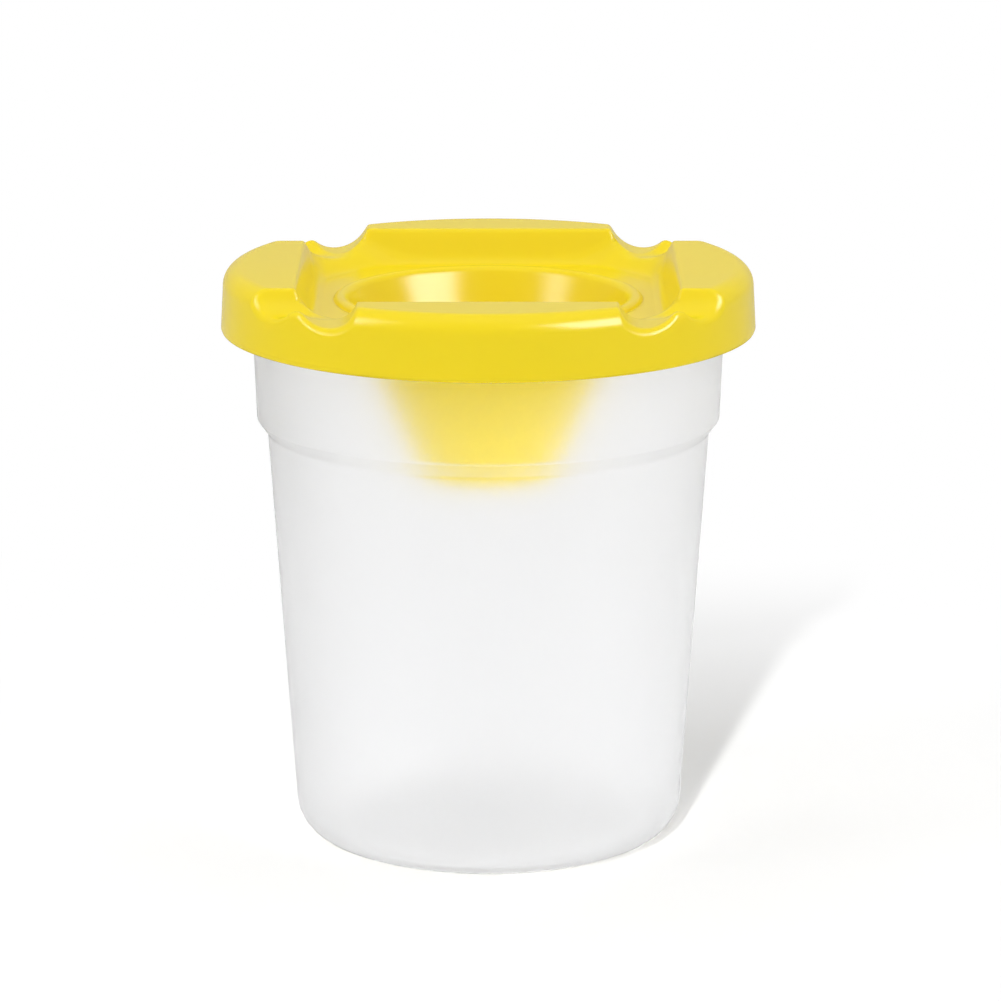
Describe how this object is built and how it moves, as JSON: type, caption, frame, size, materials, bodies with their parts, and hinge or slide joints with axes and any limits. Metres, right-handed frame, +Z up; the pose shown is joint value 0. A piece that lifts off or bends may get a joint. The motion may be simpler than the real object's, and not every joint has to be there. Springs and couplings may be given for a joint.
{
  "type": "brush washer with lid",
  "caption": "Translucent cup with a yellow push-on lid that has a spill-proof funnel in a shallow bowl, raised lobes and grooves that hold brushes.",
  "frame": {"origin": "centre of the ring that the cup stands on", "axes": "+Z up along the axis of the cup, -Y towards the front, +X to the right as seen from the front"},
  "size_m": [0.086, 0.086, 0.0941],
  "materials": {
    "cup_plastic": "frosted translucent natural polypropylene",
    "lid_plastic": "smooth glossy yellow moulding"
  },
  "bodies": {
    "cup": {"cup": "cup_plastic"},
    "lid": {"lid": "lid_plastic"}
  },
  "joints": [
    {"name": "lid_lift", "type": "slide", "parent": "cup", "child": "lid", "axis": [0, 0, 1], "range_m": [0, 0.045]}
  ]
}
